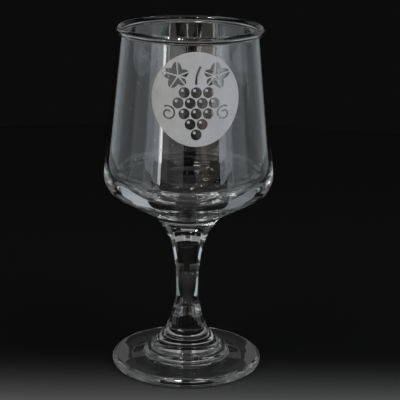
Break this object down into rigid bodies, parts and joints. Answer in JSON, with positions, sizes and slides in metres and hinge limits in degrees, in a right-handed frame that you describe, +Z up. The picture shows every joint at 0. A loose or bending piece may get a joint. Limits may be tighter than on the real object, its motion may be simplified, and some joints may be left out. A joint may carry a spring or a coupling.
{
  "type": "wine glass",
  "caption": "Clear stemmed wine glass: a straight-sided bowl that leans in to a beaded rim, a waisted solid stem, a round foot with a raised ring, and a frosted oval on the front.",
  "frame": {"origin": "centre of the foot's underside, on the plane of the table", "axes": "+Z up along the axis of the glass, -Y towards the frosted oval"},
  "size_m": [0.069, 0.069, 0.142],
  "materials": {
    "clear_glass": "clear soda-lime glass, fire polished",
    "frosted_coat": "fired frosted white coat, fine matt grain"
  },
  "bodies": {
    "root": {"bowl": "clear_glass", "stem": "clear_glass", "foot": "clear_glass", "frosted_oval": "frosted_coat"}
  },
  "joints": []
}
